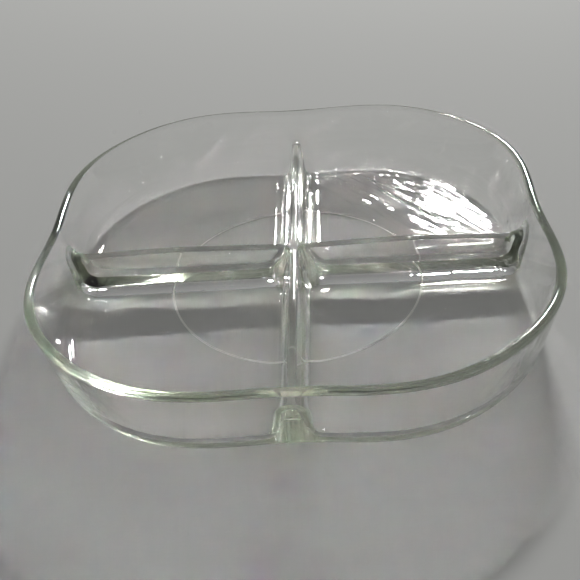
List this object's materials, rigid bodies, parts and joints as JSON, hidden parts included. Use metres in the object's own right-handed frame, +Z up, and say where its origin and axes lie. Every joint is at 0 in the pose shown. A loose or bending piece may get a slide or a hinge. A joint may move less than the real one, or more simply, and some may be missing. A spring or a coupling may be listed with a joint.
{
  "type": "relish tray",
  "caption": "Square clear glass relish tray with round corners, softly drawn-in sides and a low cross of dividers that makes equal compartments for condiments.",
  "frame": {"origin": "middle of the underside, on the surface that the tray stands on", "axes": "+Z up, with the two dividers along X and Y; the tray is the same after a quarter turn about Z"},
  "size_m": [0.2304, 0.2304, 0.039],
  "materials": {
    "clear_glass": "gloss"
  },
  "bodies": {
    "root": {"glass_tray": "clear_glass"}
  },
  "joints": []
}
